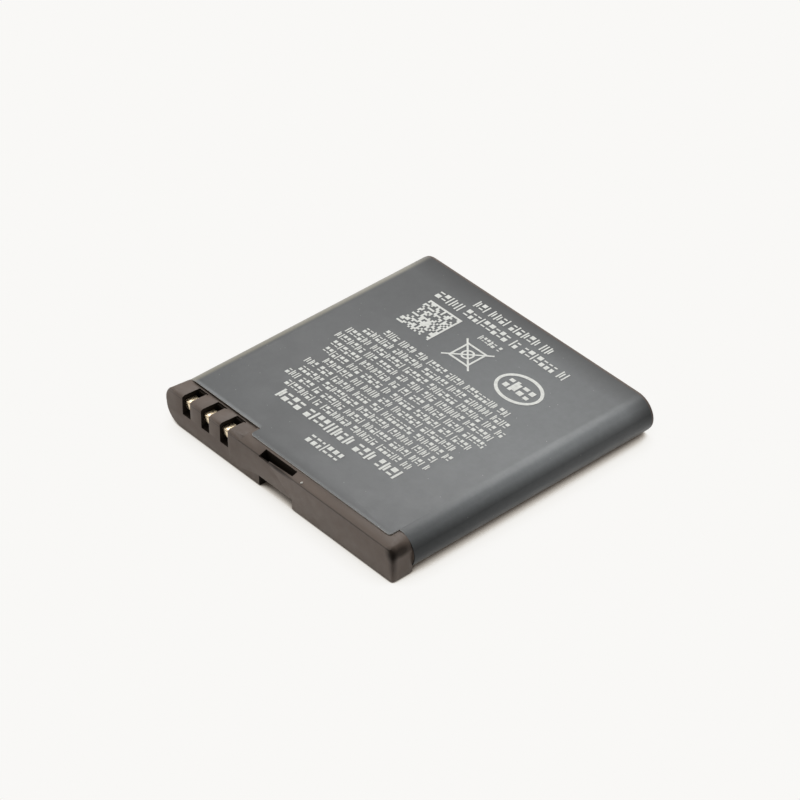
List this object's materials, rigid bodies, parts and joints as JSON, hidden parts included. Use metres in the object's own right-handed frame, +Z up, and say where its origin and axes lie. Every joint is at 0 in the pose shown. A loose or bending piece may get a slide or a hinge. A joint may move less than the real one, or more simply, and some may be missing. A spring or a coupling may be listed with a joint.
{
  "type": "mobile phone battery",
  "caption": "Flat rectangular rechargeable phone battery pack with full-round sides, a moulded contact cap with slotted gold contacts and a printed wrap-around label.",
  "frame": {"origin": "middle of the underside of the pack lying flat: the centre of the bounding box in X and Y, and the resting face in Z", "axes": "+Z up through the thickness; X along the contact end, +X away from the contacts; +Y from the contact face to the far end"},
  "size_m": [0.0396, 0.0392, 0.005],
  "materials": {
    "cap_plastic": "fine-grained dark brown-grey moulding",
    "label_film": "satin slate-grey printed film",
    "print_ink": "matt off-white ink",
    "gold_contact": "gold flash over a copper alloy strip",
    "board": "green solder mask",
    "chip_case": "black moulded case with tinned leads",
    "resistor_body": "black glazed chip with tinned ends",
    "capacitor_body": "tan ceramic chip with tinned ends",
    "nickel": "plain nickel strip",
    "can_aluminium": "deep-drawn mill finish",
    "fuse_body": "yellow-brown coated resettable fuse",
    "insulating_paper": "pressed fibre paper",
    "gasket_polymer": "natural polymer",
    "wound_foil": "separator film over graphite-coated foil",
    "adhesive": "double-sided foam adhesive"
  },
  "bodies": {
    "root": {"end_cap": "cap_plastic", "far_cap": "cap_plastic", "label_wrap": "label_film", "label_print": "print_ink", "contact_positive": "gold_contact", "contact_sense": "gold_contact", "contact_negative": "gold_contact", "circuit_board": "board", "protection_chip": "chip_case", "switch_chip": "chip_case", "chip_resistors": "resistor_body", "chip_capacitors": "capacitor_body", "positive_strip": "nickel", "negative_strip": "nickel", "fuse_strip": "nickel", "thermal_fuse": "fuse_body", "weld_plate": "nickel", "lid_paper": "insulating_paper", "cell_can": "can_aluminium", "cell_lid": "can_aluminium", "fill_plug": "can_aluminium", "rivet_gasket": "gasket_polymer", "rivet_terminal": "nickel", "inner_insulator": "gasket_polymer", "terminal_plate": "nickel", "electrode_roll": "wound_foil", "roll_spacer": "gasket_polymer", "base_pad": "gasket_polymer", "negative_tab": "nickel", "positive_tab": "can_aluminium", "far_pad": "adhesive"}
  },
  "joints": []
}
